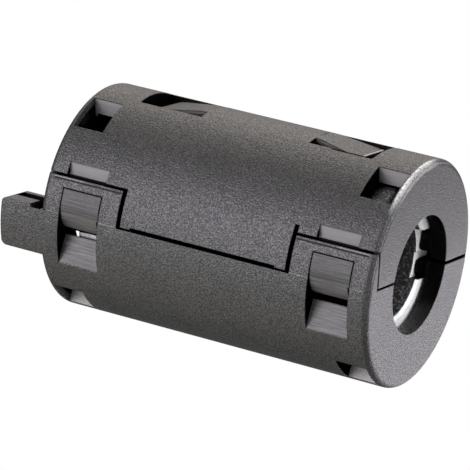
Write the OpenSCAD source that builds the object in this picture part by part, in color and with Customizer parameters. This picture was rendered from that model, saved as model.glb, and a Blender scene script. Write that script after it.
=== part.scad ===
// Clip on ferrite bead: a split ferrite sleeve in a hinged plastic case that snaps shut round a cable.
// Frame: the cable runs along Z. The case stands on its plain end at Z = 0, and the cable tie lug is
// on top. +X is the cover's side, -X the base's, -Y the latches' and +Y the hinge's.

/* [Ferrite core] */
// Bore of the closed core, which is the thickest cable that it takes
core_bore_d = 9; // [6:0.1:9.5]
// Outer diameter of the closed core
core_d = 17; // [16:0.1:19]
// Length of each core half
core_len = 27.6; // [27:0.1:34]
// Chamfer on the ground ends of a core half
core_chamfer = 0.25; // [0.1:0.05:0.5]
// Radial clearance of a core half in its shell
core_clear = 0.15; // [0.1:0.01:0.3]
// Room along the shell that a core half leaves at its two ends
core_play = 2.6; // [2.1:0.1:3]
// Gap between the base core and the plain end wall
base_core_gap = 0.4; // [0.1:0.05:1]
// Gap between the cover core and the plain end wall
cover_core_gap = 0.25; // [0.1:0.05:1]

/* [Case] */
// Wall of the barrel
barrel_wall = 1.6; // [1.5:0.05:2]
// Wall of the plain end
plain_end_wall = 1.5; // [1.2:0.1:2]
// Wall of the lug end
lug_end_wall = 0.8; // [0.7:0.1:1.2]
// Cable opening in each end wall
opening_d = 10.7; // [10:0.1:12]
// Rounding of the barrel's end edges
edge_r = 0.6; // [0.3:0.05:0.7]
// Gap of the parting line on the latches' side
seam_latch = 0.2; // [0.15:0.01:0.3]
// Gap of the parting line on the hinge's side
seam_hinge = 0.36; // [0.25:0.01:0.5]
// Gap of the parting line between the latches, where a blade gets in
pry_gap = 0.38; // [0.3:0.01:0.5]
// Distance of the wider gap from each latch
pry_start = 1; // [0.6:0.1:1.5]

/* [Latches] */
// Length of a latch loop, from the end face
loop_len = 7.7; // [7.4:0.1:8.2]
// Height of a latch loop above the base's edge
loop_height = 3.3; // [3.2:0.05:3.6]
// Wall of a latch loop at its top
loop_tip = 0.35; // [0.3:0.05:0.5]
// Inset of a latch loop from the cavity at its foot
loop_foot = 0.1; // [0.05:0.01:0.2]
// Clearance behind and above a latch loop in the cover
loop_clear = 0.25; // [0.15:0.01:0.3]
// Clearance beside a latch loop in the cover
loop_side_clear = 0.42; // [0.3:0.02:0.5]
// Rise of the slot beside the plain end's loop above the loop's notch
slot_rise = 0.6; // [0.2:0.1:0.8]
// Distance of a latch window from the end face
window_start = 1.9; // [1.6:0.1:2.2]
// Length of a latch window
window_len = 4; // [3.6:0.1:4.3]
// Height of a latch window above the base's edge
window_height = 2.4; // [2.2:0.05:2.5]
// Clearance of a hook in its window
hook_clear = 0.1; // [0.05:0.01:0.2]
// Height at which a hook's rounded lead-in starts
hook_start = 1.3; // [1:0.1:1.6]
// Depth of a hook's tip below the base's edge
hook_tip = 1.5; // [1:0.05:1.6]
// Radius of a hook's lead-in
hook_lead_r = 2.8; // [2.6:0.1:3.2]
// Rounding of a hook's two lower corners
hook_corner_r = 0.6; // [0.3:0.1:0.8]
// Depth of a latch ramp's low end below the base's edge
ramp_low = 4.65; // [4.2:0.05:5]
// Depth of a latch ramp's high end below the base's edge
ramp_high = 2.05; // [1.9:0.05:2.4]
// Height of the release recess above a latch loop's notch
recess_height = 1.2; // [0.8:0.1:1.6]
// Depth of the release recess
recess_depth = 0.55; // [0.3:0.05:0.7]
// Height of the cover's skirt edge behind the latch loops
skirt_edge = 1.5; // [1.3:0.1:1.8]

/* [Core retention] */
// Height of the cores' mating plane above the base's edge
mating_height = 0.7; // [0.5:0.05:0.9]
// Length of the corner notches in the ends of a core half
corner_len = 0.8; // [0.5:0.1:1.2]
// Depth of the corner notches below a core half's mating face
corner_depth = 2.35; // [2.1:0.05:2.8]
// Clearance of the shells' catches in the corner notches
catch_clear = 0.1; // [0.05:0.01:0.2]
// Inset of the catches from the bore
catch_inset = 0.35; // [0.25:0.05:0.6]
// Rounding of the catches towards the bore
catch_r = 0.6; // [0.3:0.05:0.65]
// Distance of a corner window from the end face
corner_window_start = 0.6; // [0.5:0.1:1]
// Length of a corner window
corner_window_len = 3; // [2.6:0.1:3.3]
// Width of a corner window, across the barrel
corner_window_w = 3.92; // [3.4:0.02:4]
// Angle between the parting plane and a corner window's near edge
corner_window_angle = 45.6; // [44:0.1:47]
// Slope of a corner window's walls off the direction in which the case opens
corner_window_slope = 20; // [10:1:30]
// Depth of a corner window from the barrel's surface, along its walls
corner_window_depth = 2.8; // [2.5:0.1:3.2]
// Distance of a spring tongue's window from the end face
tongue_start = 4.7; // [4.4:0.1:5]
// Length of a spring tongue's window
tongue_window = 6.2; // [5.8:0.1:6.6]
// Gap in front of a spring tongue's nose
tongue_nose_gap = 1.05; // [0.8:0.05:1.4]
// Width of a spring tongue at its nose
tongue_w = 5.2; // [4.8:0.1:5.4]
// Width of a spring tongue at its root
tongue_root_w = 3.4; // [3:0.1:4.4]
// Slot along each side of a spring tongue's nose
tongue_slot = 0.35; // [0.3:0.05:0.5]
// Depth of a spring tongue's flat at its root
tongue_sink = 0.05; // [0.02:0.01:0.2]
// Slope of a spring tongue's flat
tongue_slope = 8.8; // [5:0.1:9.5]
// Rounding of a spring tongue's nose
tongue_nose_r = 0.3; // [0.2:0.05:0.5]

/* [Cable tie lug] */
// Length of the lug beyond the end face
lug_len = 3.95; // [3.8:0.05:5]
// Height of the lug below the base's edge
lug_height = 4.25; // [3.5:0.05:4.6]
// Height of the lug above the base's edge
lug_rise = 0.28; // [0.2:0.02:0.4]
// Gap between the lug's top and the cover's end face
lug_gap = 0.15; // [0.1:0.05:0.3]
// Distance of the lug's inner face from the cable's axis
lug_inner = 6.5; // [6.2:0.05:6.8]
// Rounding of the lug's upper free corner
lug_round_top = 0.45; // [0.3:0.05:1]
// Rounding of the lug's other free corner
lug_round_low = 0.5; // [0.3:0.1:0.8]
// Length of the cable tie slot
slot_len = 3.5; // [3:0.05:3.5]
// Width of the cable tie slot
slot_w = 1.4; // [1.2:0.05:1.5]
// Distance of the cable tie slot from the lug's inner face
slot_inset = 0.65; // [0.5:0.05:0.8]
// Length of the dished recess beside the slot
dish_len = 1.05; // [0.8:0.05:1.3]
// Depth of the dished recess beside the slot
dish_depth = 1.3; // [0.8:0.05:1.6]
// Edge left between the dished recess and the barrel's surface
dish_edge = 0.25; // [0.2:0.05:0.4]
// Drop of that edge below the lug's top
dish_drop = 0.38; // [0.3:0.02:0.6]
// Rounding of the corner where the edge drops
dish_round = 0.2; // [0.1:0.05:0.25]

/* [Hinge] */
// Distance of each hinge web from its end face
web_start = 0; // [0:0.5:3]
// Length of each hinge web
web_len = 12; // [6:0.5:13]
// Thickness of a hinge web
web_t = 0.25; // [0.2:0.05:0.4]
// Reach of a hinge web over each shell
web_reach = 1.2; // [0.8:0.1:1.6]
// Clearance round a hinge web in its notches
web_clear = 0.05; // [0.03:0.01:0.1]

/* [Hidden] */
$fn = 96;
over = 1;                 // how far a cutter runs past what it cuts
core_r = core_d / 2;
cavity_r = core_r + core_clear;
case_r = cavity_r + barrel_wall;
opening_r = opening_d / 2;
cavity_len = core_len + core_play;
case_len = plain_end_wall + cavity_len + lug_end_wall;
notch_len = loop_len + loop_side_clear;
notch_height = loop_height + loop_clear;

// Distance from the YZ plane's centre line at which a circle of radius r reaches height x
function y_at(r, x) = -sqrt(r * r - x * x);
// Point on a circle of radius r, at an angle above the parting plane on the latches' side
function at(r, angle) = [r * sin(angle), -r * cos(angle)];
// Point on the straight line from p to q, past q by the length d
function past(p, q, d) = q + (q - p) / norm(q - p) * d;
// Latch loop's inner face at height x, moved inward by a clearance
function loop_face(x, gap = 0) =
    let (foot = -(cavity_r + loop_foot), tip = y_at(case_r, loop_height) + loop_tip)
    foot + (tip - foot) * x / loop_height + gap;

// Copies what is built at the plain end to the lug end too
module at_both_ends() {
    children();
    lug_end() children();
}

// Turns what is built at the plain end to the lug end
module lug_end() {
    translate([0, 0, case_len]) mirror([0, 0, 1]) children();
}

// Copies what is built on the latches' side to the hinge's side too
module on_both_sides() {
    children();
    mirror([0, 1, 0]) children();
}

// Extrudes a section from z0 over a length
module run(z0, length) {
    translate([0, 0, z0]) linear_extrude(length) children();
}

// Solid barrel with rounded end edges
module barrel() {
    rotate_extrude() {
        square([case_r - edge_r, case_len]);
        translate([0, edge_r]) square([case_r, case_len - 2 * edge_r]);
        translate([case_r - edge_r, edge_r]) circle(edge_r, $fn = 32);
        translate([case_r - edge_r, case_len - edge_r]) circle(edge_r, $fn = 32);
    }
}

// Room for the core and the cable inside the barrel
module hollow() {
    translate([0, 0, plain_end_wall]) cylinder(r = cavity_r, h = cavity_len);
    translate([0, 0, -over]) cylinder(r = opening_r, h = case_len + 2 * over);
}

module hollow_barrel() {
    difference() {
        barrel();
        hollow();
    }
}

// Everything above the cover's edge, which rises a little towards the hinge and between the latches
module cover_side() {
    edge = (seam_latch + seam_hinge) / 2;
    rise = (seam_hinge - seam_latch) / (2 * case_r);
    far = 2 * case_r;
    pry_end = notch_len + pry_start;
    difference() {
        run(-over, case_len + 2 * over) polygon([
            [edge - rise * far, -far],
            [far, -far],
            [far, far],
            [edge + rise * far, far]
        ]);
        translate([pry_gap - over, -far, pry_end]) cube([over, far, case_len - 2 * pry_end]);
    }
}

// Everything below the base's edge
module base_side() {
    far = 2 * case_r;
    translate([-far, -far, -over]) cube([far, 2 * far, case_len + 2 * over]);
}

// Corner window, cut through the wall with two parallel walls
module corner_window() {
    span = 2 * asin(corner_window_w / 2 / case_r);
    near = at(case_r, corner_window_angle);
    far = at(case_r, corner_window_angle + span);
    inward = [-cos(corner_window_slope), sin(corner_window_slope)];
    run(corner_window_start, corner_window_len) polygon([
        near - inward * over,
        far - inward * over,
        far + inward * corner_window_depth,
        near + inward * corner_window_depth
    ]);
}

// Section of a catch between two heights, with its two corners rounded towards the bore
module catch_section(low, high) {
    inner = core_bore_d / 2 + catch_inset;
    intersection() {
        circle(core_r - core_clear);
        union() {
            translate([low, inner + catch_r]) square([high - low, core_r]);
            translate([low + catch_r, inner]) square([high - low - 2 * catch_r, core_r]);
            translate([low + catch_r, inner + catch_r]) circle(catch_r, $fn = 32);
            translate([high - catch_r, inner + catch_r]) circle(catch_r, $fn = 32);
        }
    }
}

// The four catches of a shell, which reach from its end walls into its core's corner notches
module core_catches(low, high, gap) {
    grip = corner_len - catch_clear;
    on_both_sides() {
        run(plain_end_wall, gap + grip) catch_section(low, high);
        lug_end() run(lug_end_wall, core_play - gap + grip) catch_section(low, high);
    }
}

// Outline of a latch loop's section, out past the barrel's surface
module loop_section() {
    polygon([
        [0, loop_face(0)],
        [loop_height, loop_face(loop_height)],
        [loop_height, -case_r - over],
        [0, -case_r - over]
    ]);
}

// Springy loop that rises from the base at the plain end and takes the hook in its window
module latch_loop() {
    difference() {
        intersection() {
            barrel();
            run(-over, loop_len + over) loop_section();
        }
        translate([-over, -case_r - over, window_start])
            cube([window_height + over, case_r, window_len]);
    }
}

// Room in the cover for a latch loop. Inside the end wall it is open to the core below the skirt's edge,
// and the slot beside the loop rises a little above it
module loop_notch(wall, rise) {
    run(-over, notch_len + over) polygon([
        [-hook_tip - over, -case_r - over],
        [-hook_tip - over, loop_face(0, loop_clear)],
        [0, loop_face(0, loop_clear)],
        [notch_height, loop_face(notch_height, loop_clear)],
        [notch_height, -case_r - over]
    ]);
    translate([-over, -case_r - over, wall])
        cube([skirt_edge + over, case_r + over - core_r / 2, notch_len - wall]);
    translate([0, -case_r - over, loop_len])
        cube([notch_height + rise, case_r + over - cavity_r, loop_side_clear]);
}

// Hook that the loop's bar snaps over, with a lead-in below it and a neck behind the bar
module hook() {
    intersection() {
        hollow_barrel();
        run(0, case_len) hook_section();
        rotate([90, 0, 0]) linear_extrude(case_r + over) hook_outline();
    }
}

// Section of the hook, whose lead-in curves in from the barrel's surface
module hook_section() {
    start_angle = asin(hook_start / case_r);
    intersection() {
        polygon([
            [notch_height + over, y_at(core_r, notch_height) + over],
            [-hook_tip, y_at(core_r, hook_tip) + over],
            [-hook_tip, -case_r - over],
            [window_height - hook_clear, -case_r - over],
            [window_height - hook_clear, loop_face(window_height, loop_clear)],
            [notch_height + over, loop_face(loop_height, loop_clear)]
        ]);
        union() {
            translate(at(case_r - hook_lead_r, start_angle)) circle(hook_lead_r);
            translate([hook_start, -case_r - over]) square(case_r + over);
        }
    }
}

// Outline of the hook seen from the latches' side, with its two lower corners rounded
module hook_outline() {
    low = window_start + hook_clear;
    high = window_start + window_len - hook_clear;
    curve = hook_corner_r - hook_tip;
    translate([curve, low]) square([notch_height + over - curve, high - low]);
    translate([-hook_tip, low + hook_corner_r])
        square([hook_corner_r, high - low - 2 * hook_corner_r]);
    for (z = [low + hook_corner_r, high - hook_corner_r])
        translate([curve, z]) circle(hook_corner_r, $fn = 32);
}

// Shallow facet above a loop's bar, where a blade gets behind the bar
module release_recess() {
    low = notch_height;
    high = notch_height + recess_height;
    top = [high, y_at(case_r, high)];
    foot = [low, y_at(case_r, low) + recess_depth];
    run(window_start, window_len) polygon([
        past(foot, top, over),
        past(top, foot, over),
        [low - over, -case_r - over],
        [high + over, -case_r - over]
    ]);
}

// Window round a spring tongue, and the sloping flat on top of the tongue
module tongue_cut() {
    half_window = tongue_w / 2 + tongue_slot;
    window_end = tongue_start + tongue_window;
    nose = tongue_start + tongue_nose_gap;
    // the gap round the tongue, which narrows towards its root
    translate([cavity_r * cos(45), 0, 0]) rotate([90, 0, 90]) linear_extrude(case_r) difference() {
        translate([-half_window, tongue_start]) square([2 * half_window, tongue_window]);
        polygon([
            [-tongue_w / 2, nose],
            [tongue_w / 2, nose],
            past([tongue_w / 2, nose], [tongue_root_w / 2, window_end], over),
            past([-tongue_w / 2, nose], [-tongue_root_w / 2, window_end], over)
        ]);
    }
    // the flat, whose far end curves down round the nose
    translate([case_r - tongue_sink, 0, window_end]) rotate([0, tongue_slope, 0])
        translate([0, -half_window, -tongue_window])
            cube([case_r, 2 * half_window, tongue_window]);
    tongue_nose(nose, half_window);
}

// What rounds off the upper edge of a tongue's nose
module tongue_nose(nose, half_window) {
    length = tongue_start + tongue_window - nose;
    top = case_r - tongue_sink - length * tan(tongue_slope);
    difference() {
        translate([top - tongue_nose_r, -half_window, nose - tongue_nose_gap / 2])
            cube([case_r, 2 * half_window, tongue_nose_gap / 2 + tongue_nose_r]);
        translate([top - tongue_nose_r, 0, nose + tongue_nose_r]) rotate([90, 0, 0])
            cylinder(r = tongue_nose_r, h = case_r, center = true, $fn = 48);
    }
}

// Notches in which the hinge webs lie flush with the barrel
module web_notches() {
    at_both_ends() intersection() {
        difference() {
            cylinder(r = case_r + over, h = case_len);
            translate([0, 0, -over]) cylinder(r = case_r - web_t - web_clear, h = case_len + 2 * over);
        }
        translate([-web_reach, 0, web_start - web_clear])
            cube([2 * web_reach + seam_hinge, 2 * case_r, web_len + 2 * web_clear]);
    }
}

// Plate of the lug, seen from the latches' side, with its two free corners rounded
module lug_plate() {
    low = case_len - lug_end_wall;
    high = case_len + lug_len;
    top_curve = [lug_rise - lug_round_top, high - lug_round_top];
    difference() {
        union() {
            translate([-lug_height, low]) square([lug_height, high - low]);
            translate([-over, case_len + lug_gap]) square([lug_rise + over, lug_len - lug_gap]);
        }
        translate(top_curve) square(lug_round_top + over);
        translate([-lug_height - over, high - lug_round_low]) square(lug_round_low + over);
    }
    translate(top_curve) circle(lug_round_top, $fn = 48);
    translate([lug_round_low - lug_height, high - lug_round_low]) circle(lug_round_low, $fn = 48);
}

// Lug with its through slot for a cable tie and the dished recess beside the slot
module lug() {
    slot_y = -lug_inner - slot_inset - slot_w;
    difference() {
        intersection() {
            cylinder(r = case_r, h = case_len + lug_len);
            translate([0, -lug_inner, 0]) rotate([90, 0, 0])
                linear_extrude(case_r) lug_plate();
        }
        translate([-lug_height - over, slot_y, case_len])
            cube([lug_height + lug_rise + 2 * over, slot_w, slot_len]);
        translate([lug_rise, slot_y + over, case_len]) rotate([90, 0, 0])
            intersection() {
                cylinder(r = dish_depth, h = case_r - dish_edge + slot_y + over);
                translate([-case_r, 0, 0]) cube([2 * case_r, dish_len, 2 * case_r]);
            }
        translate([lug_rise - dish_drop, slot_y, case_len]) rotate([90, 0, 0])
            linear_extrude(case_r) dish_step();
    }
}

// What lowers the edge in front of the dished recess, with its far corner rounded
module dish_step() {
    square([dish_drop + over, dish_len - dish_round]);
    translate([dish_round, 0]) square([dish_drop + over, dish_len]);
    translate([dish_round, dish_len - dish_round]) circle(dish_round, $fn = 32);
}

module base_shell() {
    color("dimgray") {
        difference() {
            union() {
                intersection() {
                    hollow_barrel();
                    base_side();
                }
                lug();
            }
            at_both_ends() {
                latch_ramp();
                on_both_sides() mirror([1, 0, 0]) corner_window();
            }
            web_notches();
        }
        core_catches(mating_height - corner_depth + catch_clear, 0, base_core_gap);
    }
}

// Room for the hook in the base, closed below by a ramp that leads the loop's window over the hook
module latch_ramp() {
    inner = [-ramp_high, y_at(cavity_r, ramp_high)];
    outer = [-ramp_low, y_at(case_r, ramp_low)];
    run(window_start, window_len) polygon([
        [over, inner[1] + over],
        past(outer, inner, over),
        past(inner, outer, over),
        [-ramp_low, -case_r - over],
        [over, -case_r - over]
    ]);
}

module plain_end_latch_loop() {
    color("gray") latch_loop();
}

module lug_end_latch_loop() {
    color("gray") lug_end() latch_loop();
}

module hinge_webs() {
    color("darkgray") at_both_ends() intersection() {
        difference() {
            barrel();
            translate([0, 0, -over]) cylinder(r = case_r - web_t, h = case_len + 2 * over);
        }
        translate([-web_reach, 0, web_start])
            cube([2 * web_reach + seam_hinge, 2 * case_r, web_len]);
    }
}

module cover_shell() {
    catch_low = mating_height + catch_clear;
    catch_high = mating_height + corner_depth - catch_clear;
    color("silver") {
        difference() {
            union() {
                difference() {
                    intersection() {
                        hollow_barrel();
                        cover_side();
                    }
                    loop_notch(plain_end_wall, slot_rise);
                    lug_end() loop_notch(lug_end_wall, 0);
                }
                at_both_ends() hook();
            }
            at_both_ends() {
                release_recess();
                tongue_cut();
                on_both_sides() corner_window();
            }
            web_notches();
        }
        core_catches(catch_low, catch_high, cover_core_gap);
    }
}

// Closed core, with chamfers on its ground ends
module core_ring() {
    bore_r = core_bore_d / 2;
    c = core_chamfer;
    rotate_extrude() polygon([
        [bore_r + c, 0],
        [core_r - c, 0],
        [core_r, c],
        [core_r, core_len - c],
        [core_r - c, core_len],
        [bore_r + c, core_len],
        [bore_r, core_len - c],
        [bore_r, c]
    ]);
}

// One half of the core: all of it on one side of the mating plane, with a notch at each of its corners
module core_half(gap, side) {
    translate([mating_height, 0, plain_end_wall + gap]) intersection() {
        difference() {
            translate([-mating_height, 0, 0]) core_ring();
            for (z0 = [-over, core_len - corner_len])
                translate([-corner_depth, -case_r, z0])
                    cube([2 * corner_depth, 2 * case_r, corner_len + over]);
        }
        translate([(side - 1) * case_r, -case_r, 0]) cube([2 * case_r, 2 * case_r, case_len]);
    }
}

module base_core() {
    color([0.2, 0.2, 0.22]) core_half(base_core_gap, -1);
}

module cover_core() {
    color([0.28, 0.28, 0.3]) core_half(cover_core_gap, 1);
}

base_shell();
lug_end_latch_loop();
plain_end_latch_loop();
hinge_webs();
cover_shell();
base_core();
cover_core();
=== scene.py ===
from collections import namedtuple
import math

import bmesh
import bpy
from mathutils import Matrix, Vector

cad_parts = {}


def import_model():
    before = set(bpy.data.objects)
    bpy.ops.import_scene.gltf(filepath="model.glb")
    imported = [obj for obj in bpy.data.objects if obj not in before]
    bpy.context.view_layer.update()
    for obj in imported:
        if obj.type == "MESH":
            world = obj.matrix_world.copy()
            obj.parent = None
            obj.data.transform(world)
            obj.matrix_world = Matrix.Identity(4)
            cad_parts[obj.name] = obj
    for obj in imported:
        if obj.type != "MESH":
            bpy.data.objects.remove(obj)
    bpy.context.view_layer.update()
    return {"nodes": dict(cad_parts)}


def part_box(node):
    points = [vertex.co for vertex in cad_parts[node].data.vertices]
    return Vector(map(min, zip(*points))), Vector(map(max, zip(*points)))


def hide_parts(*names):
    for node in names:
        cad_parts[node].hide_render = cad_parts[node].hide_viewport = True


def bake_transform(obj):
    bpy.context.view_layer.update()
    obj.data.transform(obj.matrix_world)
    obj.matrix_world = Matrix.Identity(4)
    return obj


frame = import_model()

MM = 0.001

# The photograph's view, in metres: the bead lies with its cover up, so the picture's up is +X
FRAME_PX = 470
FOCAL_PX = 3467.12
SENSOR_MM = 36.0
CAMERA_AT = Vector((0.07288, -0.26984, -0.11270))
CAMERA_RIGHT = Vector((0.13200506, 0.46149995, -0.87726419))
CAMERA_UP = Vector((0.96221121, 0.15298432, 0.22526738))
CLIP_START = 0.01
CLIP_END = 20

# The soft lights all round the bead: where each stands, how narrow its glow is, its strength and its tint
LIGHTS = {
    "key": ((0.36, -0.83, 0.43), 18, 8.2, (1.05, 1.0, 1.1)),
    "front": ((-0.16, -0.89, 0.43), 14, 3.3, (1.03, 1.0, 1.05)),
    "lug_side_low": ((-0.74, -0.47, 0.48), 15, 1.4, (1.02, 1.0, 0.88)),
    "low_back": ((-0.37, 0.8, -0.47), 15, 4.8, (1.04, 1.0, 1.07)),
    "high_back": ((0.62, 0.73, 0.28), 14, 2.05, (1.08, 1.0, 0.97)),
    "back": ((0.55, 0.81, -0.22), 14, 0.7, (1.08, 1.0, 0.95)),
    "above": ((0.83, 0.35, 0.45), 15, 1.35, (1.05, 1.0, 0.9)),
    "right_above": ((0.61, -0.01, -0.79), 20, 9.0, (1.0, 1.0, 1.02)),
    "right": ((-0.24, -0.39, -0.85), 12, 2.2, (1.0, 1.0, 1.0)),
    "low": ((-0.82, -0.14, 0.56), 14, 0.35, (1.0, 1.0, 0.9)),
    "fill": ((0, 0, 1), 0, 0.15, (1, 1, 1)),
}
WHITE = (1, 1, 1, 1)
NO_LIGHT = (0, 0, 0, 1)

# The floor, in metres: half its width, and how far it lies below the bead
FLOOR_REACH = 1.5
FLOOR_DROP = 0.05 * MM
FLOOR_COLOUR = (0.8, 0.8, 0.8, 1)

# Sizes of the case. From here on all lengths are in millimetres, but for those that carry MM.
CASE_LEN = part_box("cover_shell")[1].z / MM
CASE_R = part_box("cover_shell")[1].y / MM
# Rounding of the barrel's end edges
EDGE_R = 0.6
# Where the lug's slot runs through it, and the soft edge of its black
SLOT_Y = (-8.55, -7.15)
SLOT_Z = (CASE_LEN, CASE_LEN + 3.5)
SLOT_SOFT = 0.03
# A spring tongue's flat: X and the distance from the end face at its root, and its rise along the cable
TONGUE_ROOT_X = 10.2
TONGUE_ROOT = 10.9
TONGUE_RISE = 0.155
# Z up to which the plain end tongue's nose lies in painted shade
NOSE_SHADE = 6.1

# Smooth patches of the case that show: the ranges of X and of the distance from the nearer end face, their
# tone against the moulding's black, and how strongly they are lined. Their edges are soft. Their tone is
# partly their smoother finish and partly painted light and shade, which set how bright each facet and window
# wall looks.
Patch = namedtuple("Patch", "x from_end light lined")
PATCHES = {
    "ramp": Patch((-4.75, -1.9), (1.9, 5.9), 2.6, 0.8),
    "lead_in": Patch((-1.25, 0.25), (1.95, 5.85), 2.6, 0.6),
    "hook": Patch((0.25, 2.33), (1.95, 5.85), 0.7, 0.9),
    "release_recess": Patch((3.5, 4.95), (1.85, 5.95), 6.2, 0.1),
    "cover_corner_window": Patch((7.3, 10.0), (0.6, 3.6), 11.0, 0.1),
    "base_corner_window": Patch((-10.0, -7.3), (0.6, 3.6), 13.0, 0.1),
}
PATCH_SOFT = 0.05

# Narrow bands: the middle, half the width, and the width of the soft edge
OPENING_WALL = (5.35, 0.1, 0.05)                    # radius
LOOP_EDGE_DARK = (3.07, 0.04, 0.04)                 # X
LOOP_EDGE_HIGHLIGHT = (3.2, 0.04, 0.03)                 # X of the painted highlight on the loops' upper edges
LOOP_FEET = (0.06, 0.03, 0.04)                      # X
LOOP_RUN = (4.2, 3.3, 0.3)                          # distance from the end face
BESIDE_LEAD_IN = (-0.6, 0.65, 0.05)                 # X of the painted shade beside the lead-ins
BESIDE_LEAD_IN_Z = ((2.07, 0.11, 0.03), (26.77, 0.11, 0.03))
TONGUE_SIDE_RUN = (8.0, 3.0, 0.1)                   # distance from the end face
TONGUE_EDGE_LINE = (0.02, 0.05, 0.04)               # depth below the tongue's flat of a painted shade line under its edge
TONGUE_SIDE_LINE = (0.34, 0.03, 0.03)               # depth below the tongue's flat of a painted shade line at the gap's bottom
# The painted shade in the gap beside the plain end tongue: its Y and Z
TONGUE_GAP_Y = (-3.03, 0.08, 0.03)
TONGUE_GAP_Z = (6.7, 1.9, 0.1)
NOSE_HIGHLIGHT = (NOSE_SHADE + 0.12, 0.05, 0.05)         # Z of the painted highlight along the nose's edge
RIM_HIGHLIGHT_RIDGE = (CASE_R - 0.35, 0.12, 0.25)            # radius less Z of the painted rim highlight
UNDER_HOOK = (-1.75, 0.4, 0.1)                      # X of the core's strip under each hook, with its painted glint and painted shade
ALONG_CABLE = (0.0, 0.3, 0.3)                       # part of the normal along Z
MATING_BAND = (0.02, 0.03)                          # no middle, as that is each mating face's own X

# Soft limits: a mask is 0 at the first value and 1 at the second
ON_BARREL = (CASE_R - 0.12, CASE_R - 0.04)          # radius
ON_END_FACE = (0.1, 0.03)                           # distance from the end face
ON_RIM = (CASE_R - EDGE_R - 0.1, CASE_R - EDGE_R)   # radius
NEAR_RIM = (EDGE_R + 0.05, EDGE_R)                  # distance from the end face
LATCH_SIDE = (-1.0, -2.0)                           # Y
NEAR_SIDE = (-0.5, -1.0)                            # Y
PATCH_DEPTH = (8.3, 8.4)                            # radius, just below the core's surface
OPENING_LOW = (-2.8, -4.2)                          # X
TONGUE_TOP = (8.4, 8.5)                             # X
WINDOW_EDGE = (8.5, 8.6)                            # X
BELOW_BARREL = (CASE_R - 0.15, CASE_R - 0.25)       # radius
IN_NOSE_SHADE = (NOSE_SHADE + 0.05, NOSE_SHADE)     # Z of the painted shade on the nose
TONGUE_SIDE_DEPTH = (0.46, 0.4)                     # depth below the tongue's flat where the side's painted light gives way to black
# Where the painted rim highlight lies
RIM_HIGHLIGHT_Z = (0.55, 0.4)
RIM_HIGHLIGHT_RADIUS = (CASE_R - 0.7, CASE_R - 0.5)
RIM_HIGHLIGHT_X = (6.2, 8.6)
RIM_HIGHLIGHT_Y = (1.5, -1.5)
LOOP_EDGE_OUTER = (4.0, 3.4)                        # distance from the end face
FEET_INNER = (8.1, 8.0)                             # distance from the end face
FEET_OUTER = (0.6, 0.7)                             # distance from the end face
FACING = (0.5, 0.68)                                # part of the normal
ON_GROUND_END = (1.1, 1.0)                          # distance from the core's end, past its corner notches
LIGHT_END = (7.5, 7.0)                              # radius, as the outer part of the ends stays dark
CORE_LATCH_SIDE = (-8.0, -8.1)                      # Y
LUG_END_HOOK = (27.0, 27.2)                         # Z of the painted glint under the lug end's hook
PLAIN_END_HOOK = (6.2, 6.0)                         # Z of the painted shade under the plain end's hook

# Ranges of a noise that are spread over a swing of tone: a narrow one is crisp, a wide one gentle
CRISP = (0.35, 0.65)
GENTLE = (0.3, 0.7)

# Each noise has the size of its grains, and may have its detail, its roughness and how long its grains are.
# Tones and lights of the nylon are times its black.

# Black nylon: its colour outside and inside the case, the swings of its tone, and how light its lines and
# painted highlights are
BLACK = 0.02
BLACK_TINT = (1.0, 0.99, 0.96)
INSIDE_SHARE = 0.55
# the tint of the painted shade that blackens the case's enclosed insides
INSIDE_TINT = (1.0, 0.84, 0.78)
OPENING_SHARE = (0.18, 0.8)                         # how much is skin on the openings' wall, above and low; less above, as painted shade
SPECKLED = (0.1, 1.9)
LINED = (0.2, 1.8)
CLOUDED = (0.92, 1.08)
# Painted light on the tongues' near sides, and the strengths of the painted highlights on the loops' edges,
# the nose's edge and the plain end rim
TONGUE_SIDE_LIGHT = 3.5
LINE_LIGHT = 3.5
LOOP_EDGE_SHARE = 1.3                               # the painted highlight on the loops' edges, against the light of the lines at their feet
NOSE_HIGHLIGHT_LIGHT = 14.0
RIM_HIGHLIGHT_LIGHT = 34.0
RIM_HIGHLIGHT_SPECKLE = (0.3, 0.6, 0.3, 1.0)                 # a range of the grain, and the swing over it
GRAIN = {"size": 0.13, "detail": 1.0, "rough": 0.6}
GRAIN_DEPTH = 0.06 * MM
DRAWN = {"size": 0.11, "rough": 0.6, "stretch": (1, 1, 30)}
NYLON_CLOUD = {"size": 3.0, "detail": 3.0}
SMOOTH_ROUGH = 0.42
GRAIN_ROUGH = (0.52, 0.24)                          # in the grain's troughs and on its tops
# The cover's plain end face is slightly crowned: how strongly, in grain depths, and the power of X
CROWN = 1.05
CROWN_POWER = 1.5
NYLON_BEVEL = 0.1 * MM

# Ferrite: its dark surface with pits and crystals, and its ground faces with fine lines
FERRITE_TINT = (0.97, 0.98, 1.0)
SINTERED = 0.012
PITTED = (0.5, 1.5)
PITS = {"size": 0.12, "detail": 3.0, "rough": 0.65}
PIT_DEPTH = 0.015 * MM
CRYSTAL = {"size": 0.2, "detail": 1.0}
CRYSTALS_LIGHT = (0.52, 0.64, 1.0, 14.0)            # a range of the crystals' noise, and the swing over it
GROUND_END = 0.92
GROUND_JOINT = 0.09
UNDER_HOOK_GLINT = 0.25                                  # the painted glint under the lug end's hook, as a share of a ground face
SCRATCH = {"size": 0.1, "stretch": (1, 22, 1)}
SCRATCHED = (0.85, 1.1)
SCRATCH_DEPTH = 0.3
FERRITE_CLOUD = {"size": 1.6}
FERRITE_CLOUDED = (0.95, 1.05)
SINTERED_ROUGH = 0.5
GROUND_ROUGH = 0.36
FERRITE_IOR = 1.9
FERRITE_BEVEL = 0.3 * MM

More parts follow.
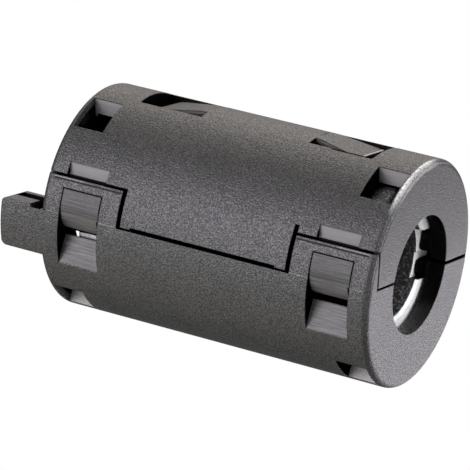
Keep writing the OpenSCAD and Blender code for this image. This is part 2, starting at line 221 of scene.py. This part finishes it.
# Tests of how enclosed a point is: their reach, and the open shares between which their effect changes. They
# place painted shade: darker crevices, and black without reflection inside the closed case and on enclosed
# core parts
CREVICE = (0.8 * MM, (0.15, 0.75))
CREVICE_SHADE = 0.15                                # how light painted shade leaves a closed crevice
CREVICE_SHADE_SKIN = 0.4                            # the same beside grained skin
ENCLOSED = (3 * MM, (0.98, 0.88))
CORE_SHADE = (1.2 * MM, (0.95, 0.5))
AO_SAMPLES = 8
BEVEL_SAMPLES = 6

# The hinge film: its strips on each shell and over the bend, its steps round the rim, and the angle from
# which its edges are sharp
SIDE_STRIPS = 4
BEND_STRIPS = 12
RIM_STEPS = 6
SHARP_DEG = 35

Spot = namedtuple("Spot", "where x y z radius from_end normal_x normal_y normal_z")


class Graph:
    """A node tree written as sums: numbers and sockets go in, sockets come out."""

    def __init__(self, owner):
        owner.use_nodes = True
        self.tree = owner.node_tree
        self.tree.nodes.clear()

    def feed(self, socket, value):
        """Joins a socket to another, or sets its number."""
        if isinstance(value, bpy.types.NodeSocket):
            self.tree.links.new(value, socket)
        else:
            socket.default_value = value

    def node(self, kind, settings=None, **inputs):
        """A new node with its settings, and with its inputs by name."""
        node = self.tree.nodes.new("ShaderNode" + kind)
        for name, value in (settings or {}).items():
            setattr(node, name, value)
        for name, value in inputs.items():
            self.feed(node.inputs[name.replace("_", " ")], value)
        return node

    def calc(self, operation, *values, clamp=False):
        """One step of arithmetic."""
        node = self.node("Math", {"operation": operation, "use_clamp": clamp})
        for socket, value in zip(node.inputs, values):
            self.feed(socket, value)
        return node.outputs[0]

    def product(self, *values):
        total = values[0]
        for value in values[1:]:
            total = self.calc("MULTIPLY", total, value)
        return total

    def highest(self, *values):
        total = values[0]
        for value in values[1:]:
            total = self.calc("MAXIMUM", total, value)
        return total

    def flip(self, value):
        return self.calc("SUBTRACT", 1.0, value)

    def step(self, value, low, high, start=0.0, end=1.0):
        """Changes smoothly from start to end while value goes from low to high."""
        kind = {"interpolation_type": "SMOOTHSTEP"}
        node = self.node(
            "MapRange", kind, Value=value, From_Min=low, From_Max=high, To_Min=start, To_Max=end
        )
        return node.outputs[0]

    def near(self, value, middle, reach, soft):
        """1 where value is within reach of middle, and 0 beyond a soft edge."""
        away = self.calc("ABSOLUTE", self.calc("SUBTRACT", value, middle))
        return self.step(away, reach, reach + soft, 1.0, 0.0)

    def within(self, value, span, soft):
        """1 where value is in the span, and 0 beyond a soft edge."""
        low, high = span
        return self.near(value, (low + high) / 2, (high - low) / 2, soft)

    def facing(self, normal_part):
        """1 where a surface faces along the axis of this part of its normal."""
        return self.step(self.calc("ABSOLUTE", normal_part), *FACING)

    def mix(self, share, a, b):
        """The number a where share is 0, and b where it is 1."""
        node = self.node("Mix", {"data_type": "FLOAT"})
        self.feed(node.inputs[0], share)
        self.feed(node.inputs[2], a)
        self.feed(node.inputs[3], b)
        return node.outputs[0]

    def mix_colour(self, share, a, b):
        """The colour a where share is 0, and b where it is 1."""
        node = self.node("Mix", {"data_type": "RGBA"})
        self.feed(node.inputs[0], share)
        self.feed(node.inputs[6], a)
        self.feed(node.inputs[7], b)
        return node.outputs[2]

    def tint(self, colour, value):
        """The colour times a number."""
        node = self.node("VectorMath", {"operation": "SCALE"}, Scale=value)
        node.inputs[0].default_value = colour
        return node.outputs[0]

    def spot(self, low, high):
        """Where the point lies at rest, in millimetres, on a piece that runs along Z from low to high."""
        coordinates = self.node("TexCoord")
        scaled = self.node("VectorMath", {"operation": "SCALE"}, Scale=1 / MM)
        self.feed(scaled.inputs[0], coordinates.outputs["Object"])
        where = scaled.outputs[0]
        x, y, z = self.node("SeparateXYZ", Vector=where).outputs
        normal = self.node("SeparateXYZ", Vector=coordinates.outputs["Normal"]).outputs
        squares = self.calc("ADD", self.product(x, x), self.product(y, y))
        from_middle = self.calc("ABSOLUTE", self.calc("SUBTRACT", z, (low + high) / 2))
        from_end = self.calc("SUBTRACT", (high - low) / 2, from_middle)
        return Spot(where, x, y, z, self.calc("SQRT", squares), from_end, *normal)

    def noise(self, where, size, detail=2.0, rough=0.5, stretch=(1, 1, 1)):
        """Noise from 0 to 1 whose grains are about size millimetres, longer along an axis by stretch."""
        scaled = self.node("VectorMath", {"operation": "DIVIDE"})
        self.feed(scaled.inputs[0], where)
        scaled.inputs[1].default_value = [size * long for long in stretch]
        grain = self.node("TexNoise", Scale=1.0, Detail=detail, Roughness=rough, Vector=scaled.outputs[0])
        return grain.outputs[0]

    def open_share(self, test, start=0.0, end=1.0):
        """Start where as much of the surroundings is open as the test's first limit, end at its second."""
        distance, limits = test
        node = self.node("AmbientOcclusion", {"samples": AO_SAMPLES}, Distance=distance)
        return self.step(node.outputs["AO"], *limits, start, end)

    def surface(self, height, depth, bevel):
        """The normal of a surface with softly rounded edges and a relief of this height and depth."""
        edge = self.node("Bevel", {"samples": BEVEL_SAMPLES}, Radius=bevel)
        bump = self.node("Bump", Strength=1.0, Distance=depth, Height=height, Normal=edge.outputs[0])
        return bump.outputs[0]

    def shade(self, **inputs):
        """The Principled shader, joined to the material's output."""
        shader = self.node("BsdfPrincipled", **inputs)
        self.node("OutputMaterial", Surface=shader.outputs[0])


def camera():
    """The camera that the picture was fitted to: no shift, no depth of field."""
    data = bpy.data.cameras.new("camera")
    data.sensor_width = SENSOR_MM
    data.lens = FOCAL_PX / FRAME_PX * SENSOR_MM
    data.clip_start = CLIP_START
    data.clip_end = CLIP_END
    back = CAMERA_RIGHT.cross(CAMERA_UP)
    turn = Matrix((CAMERA_RIGHT, CAMERA_UP, back)).transposed()
    view = bpy.data.objects.new("camera", data)
    view.matrix_world = Matrix.Translation(CAMERA_AT) @ turn.to_4x4()
    bpy.context.scene.collection.objects.link(view)
    bpy.context.scene.camera = view


def world():
    """White all round for the camera, and for the light a soft studio: one round glow for each light."""
    studio = bpy.data.worlds.new("studio")
    bpy.context.scene.world = studio
    g = Graph(studio)
    where = g.node("TexCoord").outputs["Generated"]
    glow = (0, 0, 0)
    for direction, narrow, strength, tint in LIGHTS.values():
        facing = g.node("VectorMath", {"operation": "DOT_PRODUCT"})
        g.feed(facing.inputs[0], where)
        facing.inputs[1].default_value = Vector(direction).normalized()
        fall = g.product(g.calc("SUBTRACT", facing.outputs["Value"], 1.0), narrow)
        both = g.node("VectorMath", {"operation": "ADD"})
        g.feed(both.inputs[0], glow)
        g.feed(both.inputs[1], g.tint(tint, g.product(g.calc("EXPONENT", fall), strength)))
        glow = both.outputs[0]
    light = g.node("Background", Color=glow, Strength=1.0)
    white = g.node("Background", Color=WHITE, Strength=1.0)
    mix = g.node("MixShader")
    g.feed(mix.inputs[0], g.node("LightPath").outputs["Is Camera Ray"])
    g.feed(mix.inputs[1], light.outputs[0])
    g.feed(mix.inputs[2], white.outputs[0])
    g.node("OutputWorld", Surface=mix.outputs[0])


def floor():
    """A pale floor that shows from above only, so that it never stands between the camera and the bead."""
    mesh = bpy.data.meshes.new("floor")
    corners = [(-1, -1), (1, -1), (1, 1), (-1, 1)]
    spots = [(x * FLOOR_REACH, y * FLOOR_REACH, -FLOOR_DROP) for x, y in corners]
    mesh.from_pydata(spots, [], [(0, 1, 2, 3)])
    plane = bpy.data.objects.new("floor", mesh)
    bpy.context.scene.collection.objects.link(plane)
    paint = bpy.data.materials.new("floor_paint")
    g = Graph(paint)
    seen = g.node("BsdfDiffuse", Color=FLOOR_COLOUR)
    clear = g.node("BsdfTransparent")
    camera_ray = g.node("LightPath").outputs["Is Camera Ray"]
    below = g.node("NewGeometry").outputs["Backfacing"]
    mix = g.node("MixShader")
    g.feed(mix.inputs[0], g.calc("SUBTRACT", camera_ray, below, clamp=True))
    g.feed(mix.inputs[1], clear.outputs[0])
    g.feed(mix.inputs[2], seen.outputs[0])
    g.node("OutputMaterial", Surface=mix.outputs[0])
    mesh.materials.append(paint)


def patch_area(g, at, patch):
    """1 in the patch's ranges of X and of the distance from the nearer end face."""
    height = g.within(at.x, patch.x, PATCH_SOFT)
    return g.product(height, g.within(at.from_end, patch.from_end, PATCH_SOFT))


def moulded_skin(g, at):
    """1 on the grained outside of the case and its lug, 0 on smooth patches, in gaps and inside."""
    barrel = g.step(at.radius, *ON_BARREL)
    end_face = g.step(at.from_end, *ON_END_FACE)
    rim = g.product(g.step(at.radius, *ON_RIM), g.step(at.from_end, *NEAR_RIM))
    # the wall of the openings for the cable, which is lighter low down: painted shade darkens its upper part
    opening = g.product(g.near(at.radius, *OPENING_WALL), g.step(at.x, *OPENING_LOW, *OPENING_SHARE))
    hook = g.product(patch_area(g, at, PATCHES["hook"]), g.step(at.y, *LATCH_SIDE))
    slot = g.product(g.within(at.y, SLOT_Y, SLOT_SOFT), g.within(at.z, SLOT_Z, SLOT_SOFT))
    return g.product(g.highest(barrel, end_face, rim, opening), g.flip(hook), g.flip(slot))


def smooth_patches(g, at):
    """Where the smooth patches are, on surfaces along the cable, their tone, partly painted light, and how
    lined they are.
    """
    surface = g.product(g.near(at.normal_z, *ALONG_CABLE), g.step(at.radius, *PATCH_DEPTH))
    shown = 0.0
    light = 1.0
    lined = 0.0
    for patch in PATCHES.values():
        area = g.product(patch_area(g, at, patch), surface)
        shown = g.highest(area, shown)
        light = g.mix(area, light, patch.light)
        lined = g.mix(area, lined, patch.lined)
    # painted light on the tongues' near sides, broken by painted shade lines
    side, lines = tongue_side(g, at)
    side = g.product(side, surface, g.facing(at.normal_y))
    shown = g.highest(side, shown)
    light = g.mix(side, light, g.product(g.flip(lines), TONGUE_SIDE_LIGHT))
    return shown, light, lined


def tongue_side(g, at):
    """The spring tongues' near sides, which carry painted light down to where the gap turns black, and the
    painted shade lines along them.
    """
    fall = g.product(g.calc("SUBTRACT", TONGUE_ROOT, at.from_end), TONGUE_RISE)
    depth = g.calc("SUBTRACT", g.calc("SUBTRACT", TONGUE_ROOT_X, fall), at.x)
    along = g.near(at.from_end, *TONGUE_SIDE_RUN)
    side = g.product(g.step(depth, *TONGUE_SIDE_DEPTH), along, g.step(at.y, *NEAR_SIDE))
    return side, g.highest(g.near(depth, *TONGUE_EDGE_LINE), g.near(depth, *TONGUE_SIDE_LINE))


def tongue_top(g, at):
    """The spring tongues' upper faces without the nose that lies in painted shade, and the painted highlight
    above it.
    """
    top = g.step(at.x, *TONGUE_TOP)
    flat = g.product(g.step(at.radius, *BELOW_BARREL), top)
    nose = g.product(flat, g.step(at.z, *IN_NOSE_SHADE))
    return g.product(top, g.facing(at.normal_x), g.flip(nose)), g.product(flat, g.near(at.z, *NOSE_HIGHLIGHT))


def painted_rim_highlight(g, at):
    """1 along the cover's plain end rim, on its upper front side, where a speckled highlight is painted."""
    ridge = g.near(g.calc("SUBTRACT", at.radius, at.z), *RIM_HIGHLIGHT_RIDGE)
    edge = g.product(g.step(at.z, *RIM_HIGHLIGHT_Z), g.step(at.radius, *RIM_HIGHLIGHT_RADIUS), ridge)
    return g.product(edge, g.step(at.x, *RIM_HIGHLIGHT_X), g.step(at.y, *RIM_HIGHLIGHT_Y))


def dark_lines(g, at):
    """Dark lines along the loops' tops, and painted shade lines beside the lead-ins and beside the plain end
    tongue.
    """
    front = g.step(at.y, *LATCH_SIDE)
    loop_top = g.product(g.near(at.x, *LOOP_EDGE_DARK), g.near(at.from_end, *LOOP_RUN), front)
    beside = g.highest(*(g.near(at.z, *band) for band in BESIDE_LEAD_IN_Z))
    lead_in = g.product(g.near(at.x, *BESIDE_LEAD_IN), beside, front)
    tongue = g.product(g.near(at.y, *TONGUE_GAP_Y), g.near(at.z, *TONGUE_GAP_Z))
    tongue = g.product(tongue, g.step(at.x, *WINDOW_EDGE))
    return g.highest(loop_top, lead_in, tongue)


def edge_highlights_and_feet_lines(g, at):
    """Painted highlights at the loops' upper edges, and light lines at their feet."""
    front = g.step(at.y, *LATCH_SIDE)
    outer = g.step(at.from_end, *LOOP_EDGE_OUTER)
    edge = g.product(g.near(at.x, *LOOP_EDGE_HIGHLIGHT), g.near(at.from_end, *LOOP_RUN), outer)
    edge = g.product(edge, LOOP_EDGE_SHARE)
    run = g.product(g.step(at.from_end, *FEET_INNER), g.step(at.from_end, *FEET_OUTER))
    feet = g.product(g.near(at.x, *LOOP_FEET), run)
    return g.product(g.highest(edge, feet), front)


def case_plastic():
    """Black nylon from a spark-eroded mould: grained outside, with drawn lines on the latches' facets."""
    paint = bpy.data.materials.new("case_plastic")
    g = Graph(paint)
    at = g.spot(0, CASE_LEN)
    grain = g.noise(at.where, **GRAIN)
    drawn = g.noise(at.where, **DRAWN)
    cloud = g.noise(at.where, **NYLON_CLOUD)

    # where the grained skin and the smooth patches are
    # the dark lines, with the painted shade beside the lead-ins and the tongue, are cut out of skin and
    # patches and turn black below
    line = dark_lines(g, at)
    top, nose_highlight = tongue_top(g, at)
    skin = g.product(g.highest(moulded_skin(g, at), top), g.flip(line))
    shown, light, lined = smooth_patches(g, at)
    shown = g.product(shown, g.flip(line))
    # painted shade: all else turns black, with no reflection, where the closed case encloses it and along
    # the dark lines; the seam faces stay plain plastic once the cover is open
    painted_shade_black = g.product(g.flip(skin), g.flip(shown), g.highest(g.open_share(ENCLOSED), line))

    # the tone
    # painted highlights along the cover's plain end rim, the loops' upper edges and the nose's edge; the
    # loops' feet get light lines
    rim_highlight = g.product(painted_rim_highlight(g, at), g.step(grain, *RIM_HIGHLIGHT_SPECKLE), RIM_HIGHLIGHT_LIGHT)
    bright = g.highest(
        rim_highlight, g.product(edge_highlights_and_feet_lines(g, at), LINE_LIGHT), g.product(nose_highlight, NOSE_HIGHLIGHT_LIGHT)
    )
    skin_tone = g.calc("ADD", g.step(grain, *CRISP, *SPECKLED), bright)
    lines = g.mix(lined, 1.0, g.step(drawn, *GENTLE, *LINED))
    inner_tone = g.mix(shown, INSIDE_SHARE, g.product(lines, light))
    tone = g.product(g.mix(skin, inner_tone, skin_tone), g.step(cloud, *GENTLE, *CLOUDED), BLACK)
    # painted shade: the tone darkens in crevices
    tone = g.product(tone, g.open_share(CREVICE, g.mix(skin, CREVICE_SHADE, CREVICE_SHADE_SKIN)))

    # the relief, with the cover's plain end face slightly crowned towards its top
    fall = g.calc("POWER", g.calc("MAXIMUM", at.x, 0.0), CROWN_POWER)
    crown = g.product(g.step(at.z, *ON_END_FACE), fall, -CROWN)
    height = g.calc("ADD", g.mix(skin, g.product(drawn, lined), grain), crown)
    g.shade(
        Base_Color=g.mix_colour(painted_shade_black, g.tint(BLACK_TINT, tone), g.tint(INSIDE_TINT, tone)),
        Metallic=painted_shade_black,
        Specular_Tint=g.mix_colour(painted_shade_black, WHITE, NO_LIGHT),
        Roughness=g.mix(skin, SMOOTH_ROUGH, g.step(grain, *CRISP, *GRAIN_ROUGH)),
        Normal=g.surface(height, GRAIN_DEPTH, NYLON_BEVEL),
    )
    return paint


def ferrite_of(node):
    """Sintered ferrite for one core half: dark and finely pitted, with light ends and a grey mating face."""
    low, high = (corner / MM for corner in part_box(node))
    mating_x = high.x if node == "base_core" else low.x
    paint = bpy.data.materials.new(node + "_ferrite")
    g = Graph(paint)
    at = g.spot(low.z, high.z)
    pits = g.noise(at.where, **PITS)
    scratch = g.noise(at.where, **SCRATCH)
    cloud = g.noise(at.where, **FERRITE_CLOUD)
    crystal = g.noise(at.where, **CRYSTAL)

    # where the ground faces are, and the strip under each hook: a painted glint at the lug end, painted
    # shade at the plain end
    end_face = g.product(g.step(at.from_end, *ON_GROUND_END), g.facing(at.normal_z))
    end_face = g.product(end_face, g.step(at.radius, *LIGHT_END))
    joint_face = g.product(g.near(at.x, mating_x, *MATING_BAND), g.facing(at.normal_x))
    strip = g.product(g.near(at.x, *UNDER_HOOK), g.step(at.y, *CORE_LATCH_SIDE))
    ground_and_glint = g.highest(end_face, joint_face, g.product(strip, g.step(at.z, *LUG_END_HOOK), UNDER_HOOK_GLINT))
    # painted shade: black without reflection where the core is enclosed, and under the plain end's hook
    closed = g.product(g.open_share(CORE_SHADE), g.flip(ground_and_glint))
    painted_shade = g.highest(closed, g.product(strip, g.step(at.z, *PLAIN_END_HOOK)))

    dark = g.product(g.step(pits, *GENTLE, *PITTED), g.step(crystal, *CRYSTALS_LIGHT), SINTERED)
    dark = g.product(dark, g.flip(painted_shade))
    bright = g.product(g.step(scratch, *GENTLE, *SCRATCHED), g.step(cloud, *GENTLE, *FERRITE_CLOUDED))
    bright = g.product(bright, g.mix(joint_face, GROUND_END, GROUND_JOINT))
    height = g.mix(ground_and_glint, pits, g.product(scratch, SCRATCH_DEPTH))
    g.shade(
        Base_Color=g.tint(FERRITE_TINT, g.mix(ground_and_glint, dark, bright)),
        Metallic=painted_shade,
        Roughness=g.mix(ground_and_glint, SINTERED_ROUGH, GROUND_ROUGH),
        IOR=FERRITE_IOR,
        Normal=g.surface(height, PIT_DEPTH, FERRITE_BEVEL),
    )
    return paint


def spread(start, end, count):
    """Evenly spaced values from start up to, but not with, end."""
    return [start + (end - start) * i / count for i in range(count)]


def hinge_film():
    """The two thin webs of the film hinge, as closed strips that bend between the shells."""
    node = frame["nodes"]["hinge_webs"]
    low, high = (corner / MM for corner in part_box("hinge_webs"))
    middle = CASE_LEN / 2
    inner_r = math.hypot(low.y, high.x)
    web_end = max(v.co.z for v in node.data.vertices if v.co.z < middle * MM) / MM
    gap = high.x + low.x
    across = spread(low.x, 0, SIDE_STRIPS) + spread(0, gap, BEND_STRIPS) + spread(gap, high.x, SIDE_STRIPS)
    across.append(high.x)
    # the section runs from the inside of the rounded rim, over the outside, to the web's far end
    rim_r = CASE_R - EDGE_R
    first = math.asin((inner_r - rim_r) / EDGE_R)
    arc = spread(first, math.pi / 2, RIM_STEPS) + [math.pi / 2]
    section = [(rim_r + EDGE_R * math.sin(a), EDGE_R * (1 - math.cos(a))) for a in arc]
    section += [(CASE_R, web_end), (inner_r, web_end)]
    mesh = bmesh.new()
    for lug_end in (False, True):
        rows = []
        for x in across:
            angle = math.asin(x / CASE_R)
            row = []
            for r, z in section:
                along = CASE_LEN - z if lug_end else z
                spot = Vector((r * math.sin(angle), r * math.cos(angle), along))
                row.append(mesh.verts.new(spot * MM))
            rows.append(row)
        for one, two in zip(rows, rows[1:]):
            for i in range(len(section)):
                j = (i + 1) % len(section)
                mesh.faces.new((one[i], one[j], two[j], two[i]))
        mesh.faces.new(rows[0])
        mesh.faces.new(reversed(rows[-1]))
    bmesh.ops.recalc_face_normals(mesh, faces=mesh.faces)
    data = bpy.data.meshes.new("hinge_film")
    mesh.to_mesh(data)
    mesh.free()
    data.shade_smooth()
    data.set_sharp_from_angle(angle=math.radians(SHARP_DEG))
    film = bpy.data.objects.new("hinge_film", data)
    bpy.context.scene.collection.objects.link(film)
    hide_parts("hinge_webs")
    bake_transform(film)
    return film


def dress(thing, paint):
    thing.data.materials.clear()
    thing.data.materials.append(paint)


bpy.context.scene.view_settings.view_transform = "Standard"
camera()
world()
floor()
plastic = case_plastic()
for name in ("base_shell", "cover_shell", "lug_end_latch_loop", "plain_end_latch_loop"):
    dress(frame["nodes"][name], plastic)
for name in ("base_core", "cover_core"):
    dress(frame["nodes"][name], ferrite_of(name))
dress(hinge_film(), plastic)
